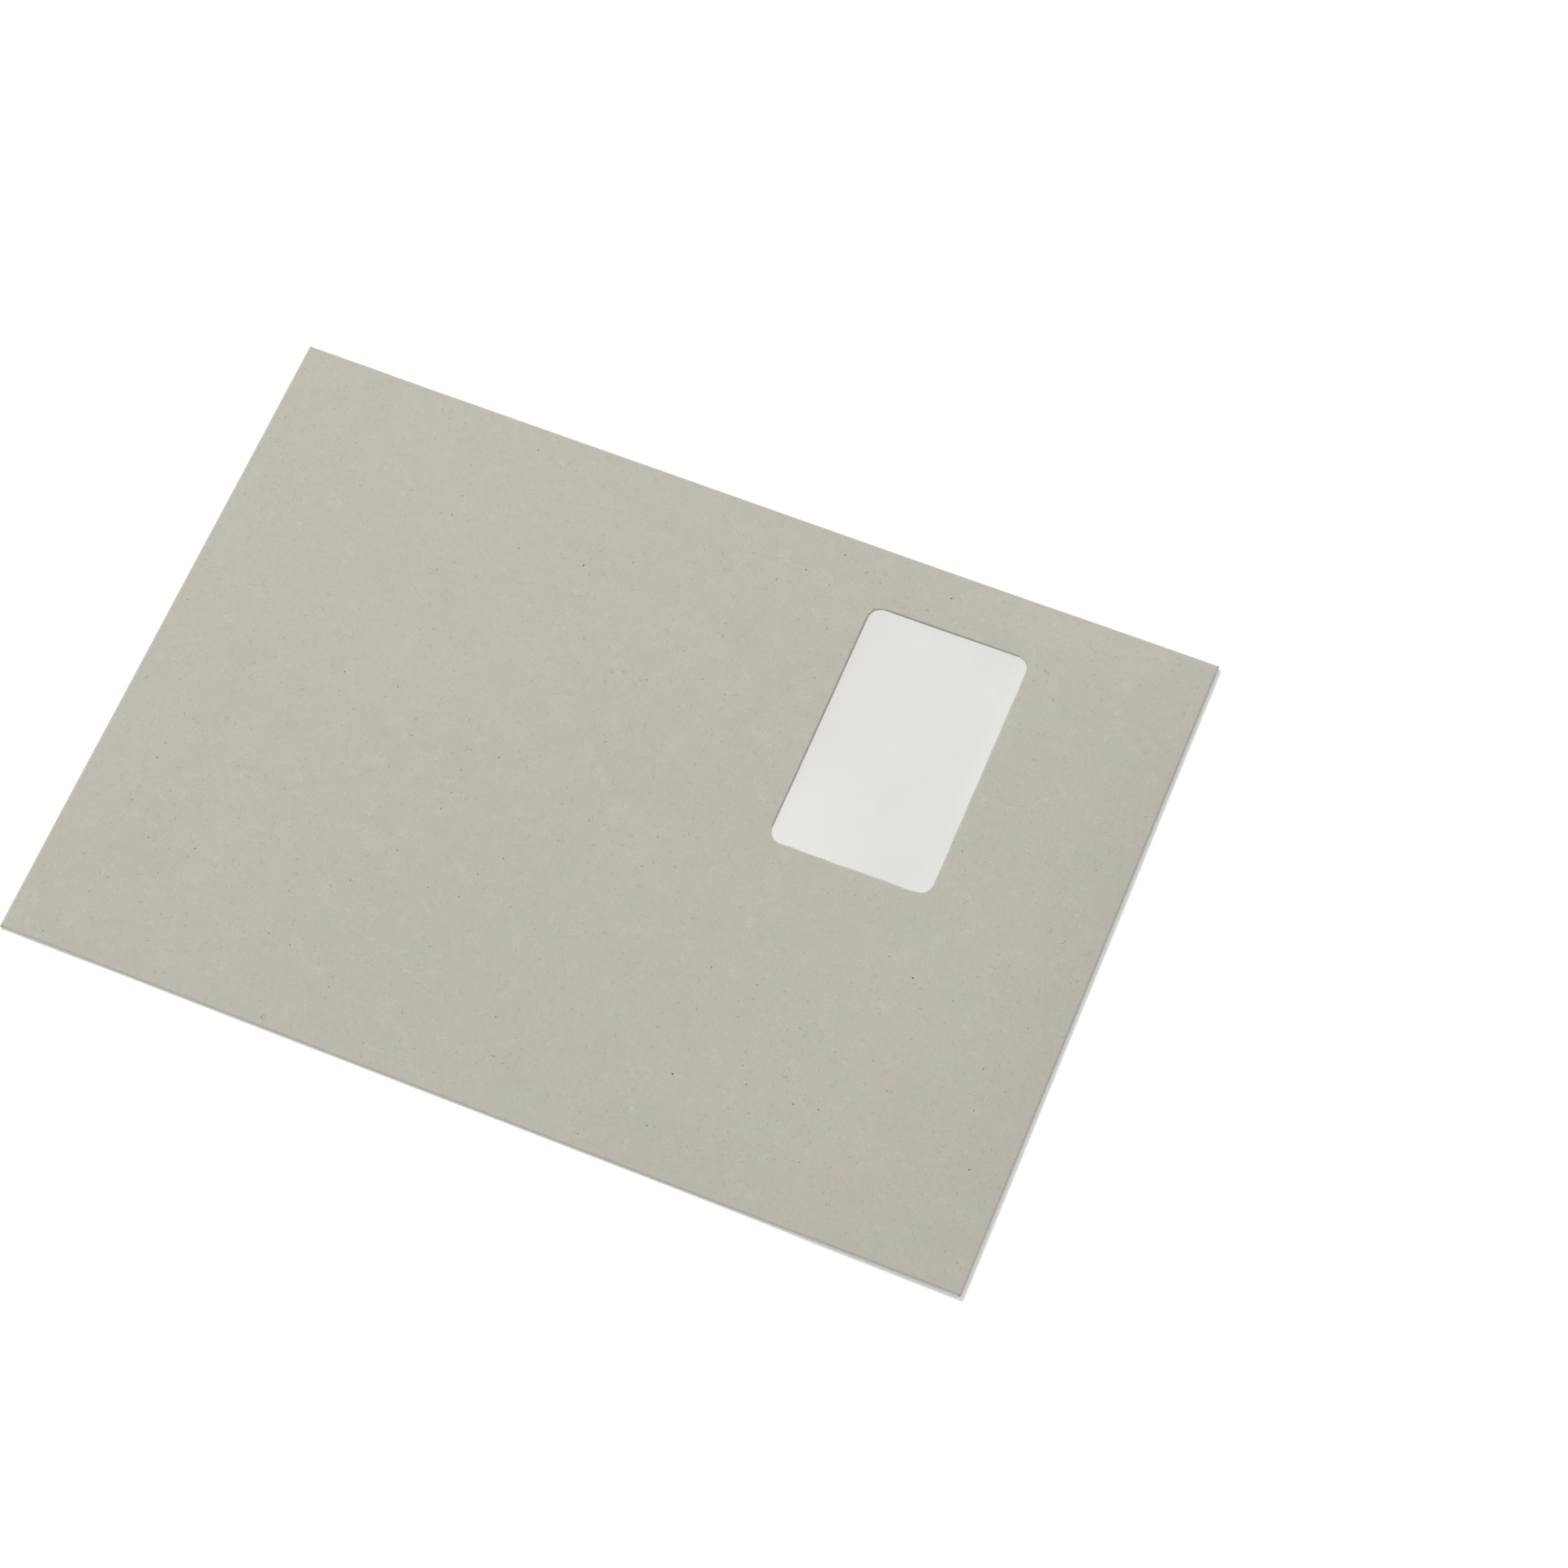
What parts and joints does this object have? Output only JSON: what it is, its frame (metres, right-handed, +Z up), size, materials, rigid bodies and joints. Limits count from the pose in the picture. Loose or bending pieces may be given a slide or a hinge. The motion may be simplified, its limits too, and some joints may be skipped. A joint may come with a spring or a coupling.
{
  "type": "window envelope",
  "caption": "Flat pocket envelope of grey recycled paper with a rounded address window, closed by a tapered seal flap at one short end and a glued bottom flap at the other.",
  "frame": {"origin": "on the surface that the envelope lies on, under the middle of its outline", "axes": "+X from the closed end to the mouth, +Y to the long side nearest the window, +Z up out of the address side"},
  "size_m": [0.324, 0.229, 0.0015],
  "materials": {
    "paper": "matt recycled paper",
    "film": "milky glassine, slightly shiny",
    "glue": "dried paste",
    "gum": "dried latex, slightly shiny"
  },
  "bodies": {
    "root": {"envelope_blank": "paper", "window_film": "film", "window_glue": "glue", "side_seam_glue": "glue", "bottom_flap_glue": "glue", "flap_gum_band": "gum", "pocket_gum_band": "gum"}
  },
  "joints": []
}
